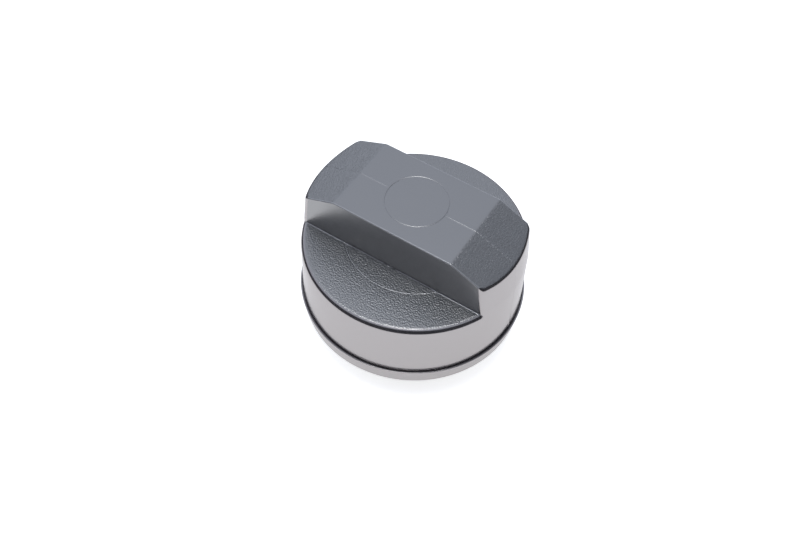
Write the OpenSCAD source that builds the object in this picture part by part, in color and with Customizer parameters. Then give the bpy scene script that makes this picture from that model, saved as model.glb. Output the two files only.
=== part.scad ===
// Keyless fuel cap for a bayonet filler neck: a moulded cover with a wide grip bar, a closure body
// with two lugs, a sprung seal and a pressure and vacuum valve in the nose. Sizes are millimetres.
// Heights are given above the skirt's rim, below it with a minus. The origin is under the nose.

/* [Cover] */
// Outer radius of the cover's wall, just above the base ring
cover_r = 35.45; // [33:0.05:38]
// How far the wall draws in from there up to the lower faces
wall_draft = 0.4; // [0.1:0.05:0.8]
// Thickness of the moulded cover
cover_wall = 2.4; // [2:0.1:2.8]
// Height of the two lower faces above the rim
face_h = 27.1; // [26.5:0.1:29]
// Radius that rounds the outer edge of the lower faces
face_edge_r = 1.7; // [1:0.1:2.2]
// Radius of the ring rib that hangs under the lower faces
rib_ring_r = 21.8; // [21:0.1:23]
// Thickness of the ribs inside the cover
rib_t = 1.6; // [1.2:0.1:2]

/* [Grip bar] */
// Width of the grip bar at its top
grip_top_w = 28.8; // [27:0.1:30]
// Width of the grip bar at its foot, on the lower faces
grip_foot_w = 28.2; // [27:0.1:30]
// Height of the bar's flat top above the rim
grip_h = 43.6; // [40:0.1:48]
// How far the bar's end walls draw in from the lower faces up to the bar's top
grip_draft = 1.7; // [0.5:0.1:2.5]
// Length of the bar's flat top
grip_flat = 40; // [34:0.5:44]
// Fall of the bar's two end faces in degrees
grip_slope = 23; // [18:0.5:27]
// Radius that eases the upper edge of the bar's ends
grip_edge_r = 1.6; // [1:0.1:2]
// Radius of the fine circle moulded on the bar's top
mark_r = 9.6; // [8:0.1:12]
// Radius of the fine circle moulded on the lower faces
arc_r = 21.8; // [20:0.1:24]
// Width of the fine moulded lines
mark_w = 0.3; // [0.2:0.05:0.5]
// Depth of the fine moulded lines
mark_d = 0.15; // [0.1:0.05:0.3]

/* [Base ring] */
// Height of the base ring's band
band_h = 5.8; // [5.5:0.1:6.5]
// How far the band's upper edge stands out from the wall
band_out = 0.85; // [0.8:0.05:1.5]
// How far the wall's foot steps in behind the band
foot_step = 0.5; // [0.4:0.05:0.6]
// How far the band draws in from its upper edge to its foot
band_draft = 0.8; // [0.4:0.1:1]
// Thickness of the ring's web under the wall
web_t = 1.6; // [1.2:0.1:2]
// Thickness of the ring's inner wall
lip_t = 1.1; // [0.9:0.1:1.4]
// Height of the ring's inner wall
lip_h = 5; // [4.8:0.1:5.2]
// Width of the groove between the wall and the band
groove_w = 0.25; // [0.2:0.05:0.4]
// Depth of the groove between the wall and the band
groove_d = 0.5; // [0.4:0.1:0.8]

/* [Closure body] */
// Outer radius of the tube
tube_r = 19; // [18.8:0.1:19.4]
// Inner radius of the tube
bore_r = 16; // [15.8:0.1:16.2]
// Radius of the pilot below the lugs
pilot_r = 17.5; // [17.2:0.1:18]
// Depth of the pilot's end below the rim
pilot_drop = 8.5; // [8.3:0.1:9]
// Height of the flange's underside above the rim
flange_z = 16; // [15.8:0.1:17]
// Thickness of the flange
flange_t = 2.4; // [2:0.1:3]
// Radius of the hole through the flange
vent_r = 12; // [9:0.5:13]
// Thickness of the cup's wall around the seal
cup_t = 1.3; // [1:0.1:1.4]

/* [Bayonet lugs] */
// Radius that the lugs reach
lug_r = 23.5; // [22:0.1:24.5]
// Depth of the lugs' upper face below the rim
lug_drop = 1.5; // [1:0.1:2]
// Thickness of a lug
lug_t = 3.2; // [2.6:0.1:3.6]
// Length of a lug around the tube in degrees
lug_a = 46; // [30:1:60]
// Length of the lead-in at a lug's leading end
lug_lead_l = 6; // [4:0.5:8]
// Fall of the lead-in in degrees
lug_lead = 12; // [6:1:16]

/* [Seal] */
// Height of the gasket's face above the rim
gasket_z = 4.5; // [4.3:0.1:4.7]
// Thickness of the gasket
gasket_t = 3; // [2.5:0.1:3.2]
// Width of the gasket
gasket_w = 6.2; // [5.5:0.1:6.3]
// Thickness of the seal plate
plate_t = 2; // [1.6:0.1:2.2]
// Travel of the seal plate against the main spring
plate_travel = 2.5; // [1.5:0.1:2.8]
// Diameter of the main spring's wire
main_wire = 1.4; // [1.2:0.1:1.5]
// Thickness of the retaining ring
clip_t = 1.15; // [1:0.05:1.2]

/* [Valve] */
// Depth of the nose below the rim
nose_drop = 11; // [10.8:0.1:12]
// Radius of the nose
nose_r = 16.8; // [16.4:0.1:17]
// Wall thickness of the valve housing
housing_wall = 2.2; // [2:0.1:2.4]
// Radius of the inlet through the nose
inlet_r = 6.1; // [5.9:0.1:6.3]
// Depth of the valve seat below the rim
seat_drop = 6; // [5.8:0.1:6.2]
// Height of the valve housing's rim above the skirt's rim
housing_h = 11; // [10.5:0.1:12]
// Radius of the pressure plate
press_r = 11.5; // [10.8:0.1:12]
// Thickness of the pressure plate
press_t = 2; // [1.6:0.1:2.2]
// Travel of the pressure valve
press_travel = 2; // [1:0.1:2.5]
// Mean radius of the pressure spring
press_spring_r = 9; // [8.8:0.1:9.4]
// Wall thickness of the sleeves that guide the pressure spring
guide_t = 1.1; // [0.8:0.1:1.3]
// Height of the pressure plate's sleeve
guide_h = 2.5; // [1.5:0.1:3]
// Diameter of the pressure spring's wire
press_wire = 1.1; // [0.8:0.1:1.2]
// Radius of the vacuum valve's disc
vac_r = 4.9; // [4.7:0.1:5.1]
// Radius of the vacuum valve's stem
stem_r = 1.5; // [1.3:0.1:1.6]
// Thickness of the vacuum valve's disc
vac_disc_t = 1.2; // [1:0.1:1.4]
// Mean radius of the vacuum spring
vac_spring_r = 4.3; // [4:0.1:4.5]
// Length of the vacuum spring at rest
vac_spring_h = 5; // [4.5:0.1:5.5]
// Diameter of the vacuum spring's wire
vac_wire = 0.5; // [0.4:0.05:0.6]
// Thickness of the clip on the vacuum valve's stem
vac_clip_t = 1; // [0.8:0.1:1.2]
// Thickness of the valve cap
cap_t = 2; // [1.6:0.1:2.4]
// Thickness of the splash baffle
baffle_t = 1; // [0.8:0.1:1.4]
// Thickness of the rubber discs in the valve
rubber_t = 1; // [0.8:0.1:1.2]
// Diameter of the o-ring's cord
o_ring_d = 1.06; // [0.9:0.02:1.08]

/* [Cover screws] */
// Distance of the screws from the middle along the bar
screw_x = 24; // [23.5:0.1:25]
// Distance of the screws from the middle across the bar
screw_y = 9.5; // [9:0.1:10]
// Radius of a screw's thread
screw_r = 1.5; // [1.2:0.1:1.8]
// Length of a screw below its head
screw_l = 11; // [9:0.5:13]
// Wall of the boss round each screw
boss_wall = 1.7; // [1.4:0.1:1.9]
// Radius of a screw's head
head_r = 2.8; // [2.4:0.1:3]
// Height of a screw's head
head_t = 2; // [1.6:0.1:2.2]

/* [Fits] */
// Gap between pieces that are assembled with play
play = 0.3; // [0.2:0.05:0.4]
// Radial clearance of what slides on a tube or stem
slide_fit = 0.08; // [0.05:0.01:0.1]
// Radial clearance of snapped and screwed pieces
snap_fit = 0.05; // [0.02:0.01:0.08]

/* [Hidden] */

$fn = 96;
cut = 1;
face_r = cover_r - wall_draft;
inner_r = face_r - cover_wall;
ceiling_z = face_h - cover_wall;
groove_z = band_h + 0.1 - groove_d;
step_z = groove_z + snap_fit;
tilt = atan(wall_draft / (face_h - step_z));
lean = atan(grip_draft / (grip_h - face_h));
flange_top = flange_z + flange_t;
boss_r = screw_r + boss_wall;
boss_top = flange_top + screw_l + 1;
bead = 0.45;
ring_bead_z = 0.8 * lip_h;

cup_r = inner_r - play;
cup_in = cup_r - cup_t;
cup_z = lip_h + play;

clip_z = gasket_z + gasket_t - plate_t + 0.5;
clip_depth = 0.7;
clip_r = tube_r + 1.4;

plate_z = gasket_z + gasket_t;
plate_top = plate_z + plate_t;
plate_r = cup_in - play;
plate_lip = 0.7;
gasket_out = plate_r - plate_lip - snap_fit;
gasket_in = gasket_out - gasket_w;
hub_r = tube_r + slide_fit;
sleeve_t = 1;
main_r = hub_r + sleeve_t + play + main_wire / 2;
spring_seat = clip_z + 1.6;
channel_r = main_r + main_wire / 2 + play;
sleeve_top = flange_z - plate_travel - 1;

body_r = bore_r - 0.2;
chamber_r = body_r - housing_wall;
floor_z = -nose_drop + 2.8;
seat_z = -seat_drop;
seat_w = 2;
cap_seat = housing_h - cap_t;
cap_r = chamber_r + 0.5;
o_ring_z = seat_z + 0.8;
snap_z = 2;
press_z = seat_z + rubber_t;
press_top = press_z + press_t;
guide_r = press_spring_r - press_wire / 2 - play;
guide_bore = stem_r + slide_fit;
stop_z = press_top + guide_h + press_travel + play;
clip_seat = press_top + vac_spring_h;
baffle_z = -nose_drop + 0.2;

function arc(cx, cz, r, a0, a1, n) =
    [for (i = [0 : n]) let (a = a0 + (a1 - a0) * i / n) [cx + r * cos(a), cz + r * sin(a)]];

// Radius of the bar's round end wall at a height z
function grip_wall(z) = face_r - (z - face_h) * tan(lean);

module at_rim() {
    translate([0, 0, nose_drop]) children();
}

module at_screws(i) {
    x = i % 2 == 0 ? screw_x : -screw_x;
    y = i < 2 ? screw_y : -screw_y;
    translate([x, y, 0]) children();
}

module tube(r_out, r_in, h) {
    rotate_extrude() translate([r_in, 0]) square([r_out - r_in, h]);
}

// A coil spring of round wire whose first and last turns lie closed, swept along its helix
module coil(mean_r, wire, height, turns, per_turn = 18) {
    sides = 8;
    closed = wire * 1.04;
    rise = height - wire;
    n = round(turns * per_turn);
    function lift(t) =
        t < 1 ? t * closed
        : t > turns - 1 ? rise - (turns - t) * closed
        : closed + (t - 1) * (rise - 2 * closed) / (turns - 2);
    points = [
        for (i = [0 : n]) let (t = turns * i / n, a = 360 * t, z = wire / 2 + lift(t))
            for (k = [0 : sides - 1]) let (b = 360 * k / sides, r = mean_r + wire / 2 * cos(b))
                [r * cos(a), r * sin(a), z + wire / 2 * sin(b)]
    ];
    walls = [
        for (i = [0 : n - 1]) for (k = [0 : sides - 1]) let (j = (k + 1) % sides)
            [i * sides + k, i * sides + j, (i + 1) * sides + j, (i + 1) * sides + k]
    ];
    ends = [
        [for (k = [sides - 1 : -1 : 0]) k],
        [for (k = [0 : sides - 1]) n * sides + k]
    ];
    polyhedron(points = points, faces = concat(walls, ends), convexity = 10);
}

// Section through the bar's length, between a foot height and the upper side, thinned by inset
module grip_section(foot, inset) {
    half = cover_r + cut;
    flat_half = grip_flat / 2 - inset * tan(grip_slope / 2);
    top = grip_h - inset;
    end = top - (half - flat_half) * tan(grip_slope);
    polygon([[-half, foot], [half, foot], [half, end], [flat_half, top], [-flat_half, top], [-half, end]]);
}

// The bar without its round ends. Its sides lean in a little from the top down, for the fingers
module grip_prism(foot, inset) {
    foot_half = grip_foot_w / 2 - inset;
    top_half = grip_top_w / 2 - inset;
    intersection() {
        rotate([90, 0, 0])
            linear_extrude(2 * grip_top_w, center = true) grip_section(foot, inset);
        rotate([90, 0, 90]) linear_extrude(2 * cover_r + 4 * cut, center = true)
            polygon([
                [-foot_half, foot - cut], [foot_half, foot - cut], [foot_half, face_h], [top_half, grip_h],
                [-top_half, grip_h], [-foot_half, face_h]
            ]);
    }
}

// What is cut from the upper edge of one bar end, swept along the edge that the sloping end face
// makes with the round wall. Each station lies in a plane through the cap's axis.
module end_easing() {
    stations = 24;
    chords = 3;
    reach = asin((grip_top_w / 2 + cut) / grip_wall(grip_h));
    clear = 2 * grip_edge_r;
    points = [
        for (i = [0 : stations])
            let (
                a = reach * (2 * i / stations - 1),
                drop = tan(grip_slope) * cos(a),
                fall = atan(drop),
                edge_z = (grip_h + grip_flat / 2 * tan(grip_slope) - drop * grip_wall(0))
                    / (1 - drop * tan(lean)),
                edge = [grip_wall(edge_z), edge_z],
                back = grip_edge_r * tan((90 - fall - lean) / 2),
                ball = edge + back * [sin(lean), -cos(lean)] - grip_edge_r * [cos(lean), sin(lean)]
                    + [0, 0.02],
                chain = arc(ball[0], ball[1], grip_edge_r + 0.06, lean, 90 - fall, chords),
                outline = concat(
                    [[edge[0] + clear, chain[0][1]]], chain,
                    [[edge[0] - clear, edge_z + clear], [edge[0] + clear, edge_z + clear]]
                )
            )
            for (p = outline) [p[0] * cos(a), p[0] * sin(a), p[1]]
    ];
    m = chords + 4;
    walls = [
        for (i = [0 : stations - 1]) for (k = [0 : m - 1]) let (j = (k + 1) % m)
            [i * m + k, (i + 1) * m + k, (i + 1) * m + j, i * m + j]
    ];
    ends = [[for (k = [0 : m - 1]) k], [for (k = [m - 1 : -1 : 0]) stations * m + k]];
    polyhedron(points = points, faces = concat(walls, ends), convexity = 4);
}

// What is cut from the outer edge of the two lower faces
module face_easing() {
    mid_r = face_r + face_edge_r * (tan(tilt) - 1 / cos(tilt));
    rim = arc(mid_r, face_h - face_edge_r, face_edge_r, tilt, 90, 6);
    difference() {
        rotate_extrude()
            polygon(concat(
                [[cover_r + cut, face_h + cut], [cover_r + cut, rim[0][1]]], rim,
                [[mid_r, face_h + cut]]
            ));
        cube([3 * cover_r, grip_foot_w, 3 * face_h], center = true);
    }
}

module fine_circle(r, z) {
    translate([0, 0, z - mark_d]) tube(r + mark_w / 2, r - mark_w / 2, mark_d + cut);
}

module cover_solid() {
    top = grip_h + cut;
    difference() {
        intersection() {
            rotate_extrude()
                polygon([
                    [0, web_t], [cover_r - foot_step, web_t], [cover_r - foot_step, step_z],
                    [cover_r, step_z], [face_r, face_h], [grip_wall(top), top], [0, top]
                ]);
            union() {
                translate([-cover_r - cut, -cover_r - cut, web_t])
                    cube([2 * (cover_r + cut), 2 * (cover_r + cut), face_h - web_t]);
                grip_prism(web_t, 0);
            }
        }
        face_easing();
        end_easing();
        rotate([0, 0, 180]) end_easing();
        fine_circle(mark_r, grip_h);
        difference() {
            fine_circle(arc_r, face_h);
            cube([2 * cover_r, grip_foot_w, 3 * face_h], center = true);
        }
    }
}

// The round space that the bar's inside is cut from, widened by extra
module bar_round(extra) {
    wide = inner_r + extra;
    rotate_extrude()
        polygon([
            [0, 0], [wide, 0], [wide, face_h], [wide - grip_draft, grip_h], [0, grip_h]
        ]);
}

module cover_hollow() {
    translate([0, 0, -cut]) cylinder(r = inner_r, h = ceiling_z + cut);
    intersection() {
        bar_round(0);
        grip_prism(0, cover_wall);
    }
    rotate_extrude()
        polygon([
            [inner_r - cut, ring_bead_z - bead - 0.2], [inner_r, ring_bead_z - bead - 0.2],
            [inner_r + bead, ring_bead_z], [inner_r, ring_bead_z + bead + 0.2],
            [inner_r - cut, ring_bead_z + bead + 0.2]
        ]);
}

module cover_ribs() {
    translate([0, 0, flange_top])
        tube(rib_ring_r + rib_t / 2, rib_ring_r - rib_t / 2, ceiling_z - flange_top + cut);
    intersection() {
        bar_round(cut);
        grip_prism(0, cover_wall - 0.2);
        union() {
            for (x = [-1, 1])
                translate([x * (grip_flat / 4) - rib_t / 2, -grip_top_w / 2, ceiling_z])
                    cube([rib_t, grip_top_w, grip_h]);
            translate([-cover_r, -rib_t / 2, ceiling_z]) cube([2 * cover_r, rib_t, grip_h]);
        }
    }
    for (i = [0 : 3])
        at_screws(i) translate([0, 0, flange_top]) cylinder(r = boss_r, h = boss_top + 2 - flange_top);
}

module grip_cover() {
    color([0.09, 0.09, 0.10])
    at_rim() difference() {
        union() {
            difference() {
                cover_solid();
                cover_hollow();
            }
            cover_ribs();
        }
        for (i = [0 : 3])
            at_screws(i) translate([0, 0, flange_top - cut])
                cylinder(r = screw_r + snap_fit, h = boss_top - flange_top + cut, $fn = 32);
    }
}

module base_ring() {
    wall_side = cover_r - foot_step + snap_fit;
    lip_out = inner_r - snap_fit;
    lip_in = lip_out - lip_t;
    top_r = cover_r + band_out;
    color([0.10, 0.10, 0.11])
    at_rim() rotate_extrude()
        polygon([
            [lip_in, 0.3], [lip_in + 0.3, 0], [top_r - band_draft - 0.3, 0], [top_r - band_draft, 0.3],
            [top_r, band_h - 0.35], [top_r - 0.1, band_h - 0.1], [top_r - 0.35, band_h],
            [cover_r + groove_w, band_h + 0.1], [cover_r + groove_w, groove_z],
            [wall_side, groove_z], [wall_side, web_t], [lip_out, web_t],
            [lip_out, ring_bead_z - bead],
            [lip_out + bead - 0.1, ring_bead_z], [lip_out, ring_bead_z + bead],
            [lip_out, lip_h - 0.3], [lip_out - 0.3, lip_h], [lip_in, lip_h]
        ]);
}

module lug() {
    rotate([0, 0, -lug_a / 2]) difference() {
        rotate_extrude(angle = lug_a)
            polygon([
                [pilot_r - cut, -lug_drop - lug_t], [lug_r - 0.5, -lug_drop - lug_t],
                [lug_r, -lug_drop - lug_t + 0.5], [lug_r, -lug_drop - 0.4],
                [lug_r - 0.4, -lug_drop], [pilot_r - cut, -lug_drop]
            ]);
        rotate([0, 0, lug_a]) translate([0, -lug_lead_l, -lug_drop]) rotate([-lug_lead, 0, 0])
            cube([2 * lug_r, 3 * lug_lead_l, lug_t]);
    }
}

module closure_body() {
    color([0.13, 0.13, 0.14])
    at_rim() difference() {
        union() {
            rotate_extrude()
                polygon([
                    [bore_r, -pilot_drop], [pilot_r - 0.6, -pilot_drop], [pilot_r, -pilot_drop + 0.6],
                    [pilot_r, -lug_drop - lug_t], [tube_r, -lug_drop - lug_t + 1.5],
                    [tube_r, clip_z - clip_t - 0.05], [tube_r - clip_depth, clip_z - clip_t - 0.05],
                    [tube_r - clip_depth, clip_z + 0.05], [tube_r, clip_z + 0.05], [tube_r, flange_z],
                    [cup_in, flange_z], [cup_in, cup_z], [cup_r, cup_z], [cup_r, flange_top],
                    [vent_r, flange_top], [vent_r, flange_z], [bore_r, flange_z],
                    [bore_r, snap_z + bead + 0.1], [bore_r + 0.35, snap_z],
                    [bore_r, snap_z - bead - 0.1]
                ]);
            for (a = [0, 180]) rotate([0, 0, a]) lug();
        }
        for (i = [0 : 3])
            at_screws(i) translate([0, 0, flange_z - cut])
                cylinder(r = screw_r + 0.2, h = flange_t + 2 * cut, $fn = 32);
        for (a = [45 : 90 : 315])
            rotate([0, 0, a]) translate([cup_r - 0.8, -2, flange_z - 2]) cube([3, 4, flange_t + 3]);
    }
}

module seal_plate() {
    color([0.75, 0.74, 0.70])
    at_rim() rotate_extrude()
        polygon([
            [hub_r, clip_z], [gasket_in - snap_fit, clip_z], [gasket_in - snap_fit, plate_z],
            [gasket_out + snap_fit, plate_z], [gasket_out + snap_fit, plate_z - 1],
            [plate_r, plate_z - 1], [plate_r, plate_top], [channel_r, plate_top],
            [channel_r, spring_seat], [hub_r + sleeve_t, spring_seat], [hub_r + sleeve_t, sleeve_top],
            [hub_r, sleeve_top]
        ]);
}

module gasket() {
    mid = (gasket_in + gasket_out) / 2;
    step = 0.4;
    color([0.05, 0.05, 0.05])
    at_rim() rotate_extrude()
        polygon([
            [gasket_in, plate_z], [gasket_in, gasket_z + 2 * step], [gasket_in + step, gasket_z + step],
            [mid - 1.5, gasket_z + step], [mid - 0.6, gasket_z], [mid + 0.6, gasket_z],
            [mid + 1.5, gasket_z + step], [gasket_out - step, gasket_z + step],
            [gasket_out, gasket_z + 2 * step], [gasket_out, plate_z]
        ]);
}

module main_spring() {
    color([0.7, 0.7, 0.72])
    at_rim() translate([0, 0, spring_seat])
        coil(main_r, main_wire, flange_z - spring_seat, 3.5, 22);
}

module retaining_ring() {
    gap = 26;
    color([0.6, 0.6, 0.62])
    at_rim() translate([0, 0, clip_z - clip_t]) rotate([0, 0, 90 + gap / 2])
        rotate_extrude(angle = 360 - gap)
            translate([tube_r - clip_depth + snap_fit, 0])
                square([clip_r - tube_r + clip_depth - snap_fit, clip_t]);
}

module valve_housing() {
    color([0.82, 0.80, 0.74])
    at_rim() rotate_extrude()
        polygon([
            [inlet_r, -nose_drop], [inlet_r + 2.6, -nose_drop], [inlet_r + 2.6, -nose_drop + 1.2],
            [chamber_r, -nose_drop + 1.2], [chamber_r, -nose_drop], [nose_r - 0.4, -nose_drop],
            [nose_r, -nose_drop + 0.4], [nose_r, -pilot_drop], [body_r, -pilot_drop],
            [body_r, o_ring_z - 1], [body_r - 0.9, o_ring_z - 1], [body_r - 0.9, o_ring_z + 1],
            [body_r, o_ring_z + 1], [body_r, snap_z - bead], [bore_r + 0.25, snap_z],
            [body_r, snap_z + bead], [body_r, housing_h - 0.5], [body_r - 0.5, housing_h],
            [cap_r + snap_fit, housing_h], [cap_r + snap_fit, cap_seat], [chamber_r, cap_seat],
            [chamber_r, floor_z], [inlet_r + seat_w, floor_z], [inlet_r + seat_w, seat_z - 0.4],
            [inlet_r + seat_w - 0.4, seat_z], [inlet_r + 0.6, seat_z], [inlet_r, seat_z - 0.4]
        ]);
}

module housing_o_ring() {
    color([0.05, 0.05, 0.05])
    at_rim() rotate_extrude()
        translate([(body_r - 0.9 + bore_r) / 2, o_ring_z]) circle(d = o_ring_d, $fn = 24);
}

module pressure_plate() {
    sleeve_in = guide_r - guide_t;
    arm_w = 0.8 * press_t;
    color([0.85, 0.83, 0.76])
    at_rim() difference() {
        union() {
            rotate_extrude()
                polygon([
                    [guide_bore, press_z], [press_r, press_z], [press_r, press_top - 0.3],
                    [press_r - 0.3, press_top], [guide_r, press_top], [guide_r, press_top + guide_h],
                    [sleeve_in, press_top + guide_h], [sleeve_in, press_top],
                    [guide_bore, press_top]
                ]);
            intersection() {
                translate([0, 0, press_z]) cylinder(r = chamber_r - 0.2, h = press_t);
                for (a = [0 : 90 : 270])
                    rotate([0, 0, a]) translate([press_r - cut, -arm_w / 2, press_z])
                        cube([chamber_r, arm_w, press_t]);
            }
        }
        for (a = [0 : 72 : 288])
            rotate([0, 0, a]) translate([stem_r + 1.4, 0, press_z - cut])
                cylinder(r = 0.7, h = press_t + 2 * cut, $fn = 24);
    }
}

module pressure_seal() {
    color([0.06, 0.06, 0.06])
    at_rim() translate([0, 0, seat_z]) tube(inlet_r + seat_w + 2.2, inlet_r + 0.3, rubber_t);
}

module pressure_spring() {
    color([0.7, 0.7, 0.72])
    at_rim() translate([0, 0, press_top])
        coil(press_spring_r, press_wire, cap_seat - press_top, 5, 18);
}

module vacuum_valve() {
    color([0.85, 0.83, 0.76])
    at_rim() rotate_extrude()
        polygon([
            [0, seat_z - vac_disc_t], [vac_r - 0.3, seat_z - vac_disc_t],
            [vac_r, seat_z - vac_disc_t + 0.3], [vac_r, seat_z], [stem_r, seat_z],
            [stem_r, clip_seat], [stem_r - 0.4, clip_seat], [stem_r - 0.4, clip_seat + vac_clip_t],
            [stem_r, clip_seat + vac_clip_t], [stem_r, clip_seat + vac_clip_t + 0.8],
            [stem_r - 0.5, clip_seat + vac_clip_t + 1.4], [0, clip_seat + vac_clip_t + 1.4]
        ]);
}

module vacuum_seal() {
    color([0.06, 0.06, 0.06])
    at_rim() translate([0, 0, seat_z]) tube(vac_r - 0.2, stem_r + snap_fit, rubber_t);
}

module vacuum_spring() {
    color([0.75, 0.75, 0.77])
    at_rim() translate([0, 0, press_top]) coil(vac_spring_r, vac_wire, vac_spring_h, 4.5, 14);
}

module vacuum_retainer() {
    color([0.6, 0.6, 0.62])
    at_rim() translate([0, 0, clip_seat]) difference() {
        cylinder(r = vac_spring_r + 0.6, h = vac_clip_t);
        translate([0, 0, -cut])
            cylinder(r = stem_r - 0.4 + snap_fit, h = vac_clip_t + 2 * cut, $fn = 32);
        translate([0, -stem_r + 0.55, -cut]) cube([2 * vac_spring_r, 2 * stem_r - 1.1, vac_clip_t + 2 * cut]);
    }
}

// Closes the housing. Its sleeve carries the pressure spring and stops the pressure plate
module valve_cap() {
    sleeve_in = guide_r - guide_t;
    dish = 0.4 * cap_t;
    color([0.82, 0.80, 0.74])
    at_rim() difference() {
        rotate_extrude()
            polygon([
                [0, cap_seat], [sleeve_in, cap_seat], [sleeve_in, stop_z],
                [guide_r, stop_z], [guide_r, cap_seat], [cap_r, cap_seat],
                [cap_r, housing_h - 0.3], [cap_r - 0.3, housing_h], [guide_r, housing_h],
                [guide_r - dish, housing_h - dish], [0, housing_h - dish]
            ]);
        for (a = [0 : 60 : 300])
            rotate([0, 0, a]) translate([0.6 * sleeve_in, 0, cap_seat - cut])
                cylinder(r = 0.65 * cap_t, h = cap_t + 2 * cut, $fn = 32);
    }
}

module splash_baffle() {
    color([0.82, 0.80, 0.74])
    at_rim() translate([0, 0, baffle_z]) difference() {
        cylinder(r = inlet_r - snap_fit, h = baffle_t);
        for (a = [0 : 60 : 300])
            rotate([0, 0, a]) translate([3.7, 0, -cut])
                cylinder(r = 1, h = baffle_t + 2 * cut, $fn = 24);
    }
}

module cover_screw(i) {
    slot_w = 0.7;
    color([0.7, 0.7, 0.72])
    at_rim() at_screws(i) difference() {
        rotate_extrude($fn = 32)
            polygon([
                [0, flange_z - head_t], [head_r - 0.7, flange_z - head_t], [head_r, flange_z - head_t + 0.7],
                [head_r, flange_z], [screw_r, flange_z], [screw_r, flange_z + screw_l - 1],
                [0.3, flange_z + screw_l], [0, flange_z + screw_l]
            ]);
        for (a = [0, 90])
            rotate([0, 0, a]) translate([-head_r * 0.6, -slot_w / 2, flange_z - head_t - cut])
                cube([head_r * 1.2, slot_w, cut + 1.2]);
    }
}

grip_cover();
base_ring();
closure_body();
seal_plate();
gasket();
main_spring();
retaining_ring();
valve_housing();
housing_o_ring();
pressure_plate();
pressure_seal();
pressure_spring();
vacuum_valve();
vacuum_seal();
vacuum_spring();
vacuum_retainer();
valve_cap();
splash_baffle();
cover_screw(0);  // cover_screw_1
cover_screw(1);  // cover_screw_2
cover_screw(2);  // cover_screw_3
cover_screw(3);  // cover_screw_4
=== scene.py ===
"""Keyless fuel cap on a pale floor: the looks of every piece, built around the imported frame.

Lengths are metres in the frame's own axes: +Z along the cap's axis, +X along the grip bar, and the
origin under the nose. Sizes that the solids already hold are read from the frame.
"""

import logging
import math
from dataclasses import dataclass, field, replace
from enum import Enum, IntEnum
from typing import Any, Optional, Sequence

import bmesh
import bpy
import numpy as np
from mathutils import Matrix, Vector


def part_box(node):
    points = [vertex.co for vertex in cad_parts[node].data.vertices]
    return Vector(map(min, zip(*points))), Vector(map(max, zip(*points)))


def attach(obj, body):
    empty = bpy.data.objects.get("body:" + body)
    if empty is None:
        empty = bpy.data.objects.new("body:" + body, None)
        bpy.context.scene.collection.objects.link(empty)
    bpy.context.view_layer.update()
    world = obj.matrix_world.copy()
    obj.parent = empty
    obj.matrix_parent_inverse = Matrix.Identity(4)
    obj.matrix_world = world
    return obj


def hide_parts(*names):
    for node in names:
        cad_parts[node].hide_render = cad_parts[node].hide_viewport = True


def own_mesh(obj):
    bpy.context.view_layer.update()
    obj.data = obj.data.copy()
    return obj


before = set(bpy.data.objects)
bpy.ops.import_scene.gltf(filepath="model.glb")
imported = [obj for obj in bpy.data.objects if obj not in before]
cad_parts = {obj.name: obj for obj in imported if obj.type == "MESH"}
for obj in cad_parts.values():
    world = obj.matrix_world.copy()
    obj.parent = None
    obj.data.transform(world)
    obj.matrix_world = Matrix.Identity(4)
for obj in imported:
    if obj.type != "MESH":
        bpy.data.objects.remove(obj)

LOG = logging.getLogger("fuel_cap")
MM = 0.001
MERGE = 0.5e-6
BEVEL_STEPS = 3
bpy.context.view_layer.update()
RIM_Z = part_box("base_ring")[0].z


def linear(hex_colour: str) -> tuple[float, float, float, float]:
    """Turns an sRGB hex colour into the linear colour that a shader takes.

    Args:
        hex_colour: six hex digits after a hash.

    Returns:
        Red, green, blue and an alpha of one.
    """
    parts = [int(hex_colour[i:i + 2], 16) / 255 for i in (1, 3, 5)]
    channels = [c / 12.92 if c <= 0.04045 else ((c + 0.055) / 1.055) ** 2.4 for c in parts]
    return (channels[0], channels[1], channels[2], 1.0)


def add_node(
    tree: bpy.types.NodeTree,
    kind: str,
    settings: Optional[dict[str, Any]] = None,
    inputs: Optional[dict[Any, Any]] = None,
) -> bpy.types.Node:
    """Adds one shader node, sets it up and links what feeds it.

    Args:
        tree: the material's or world's node tree.
        kind: the node's type name.
        settings: attributes of the node.
        inputs: for each input, by name or index, a value or the output socket that feeds it.

    Returns:
        The new node.
    """
    node = tree.nodes.new(kind)
    for name, value in (settings or {}).items():
        setattr(node, name, value)
    for name, value in (inputs or {}).items():
        if isinstance(value, bpy.types.NodeSocket):
            tree.links.new(value, node.inputs[name])
        else:
            node.inputs[name].default_value = value
    return node


class Pattern(Enum):
    """What the mould left on a surface."""

    POLISHED = "polished"
    SPARKED = "sparked"
    GRAINED = "grained"
    DRAWN = "drawn"


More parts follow.
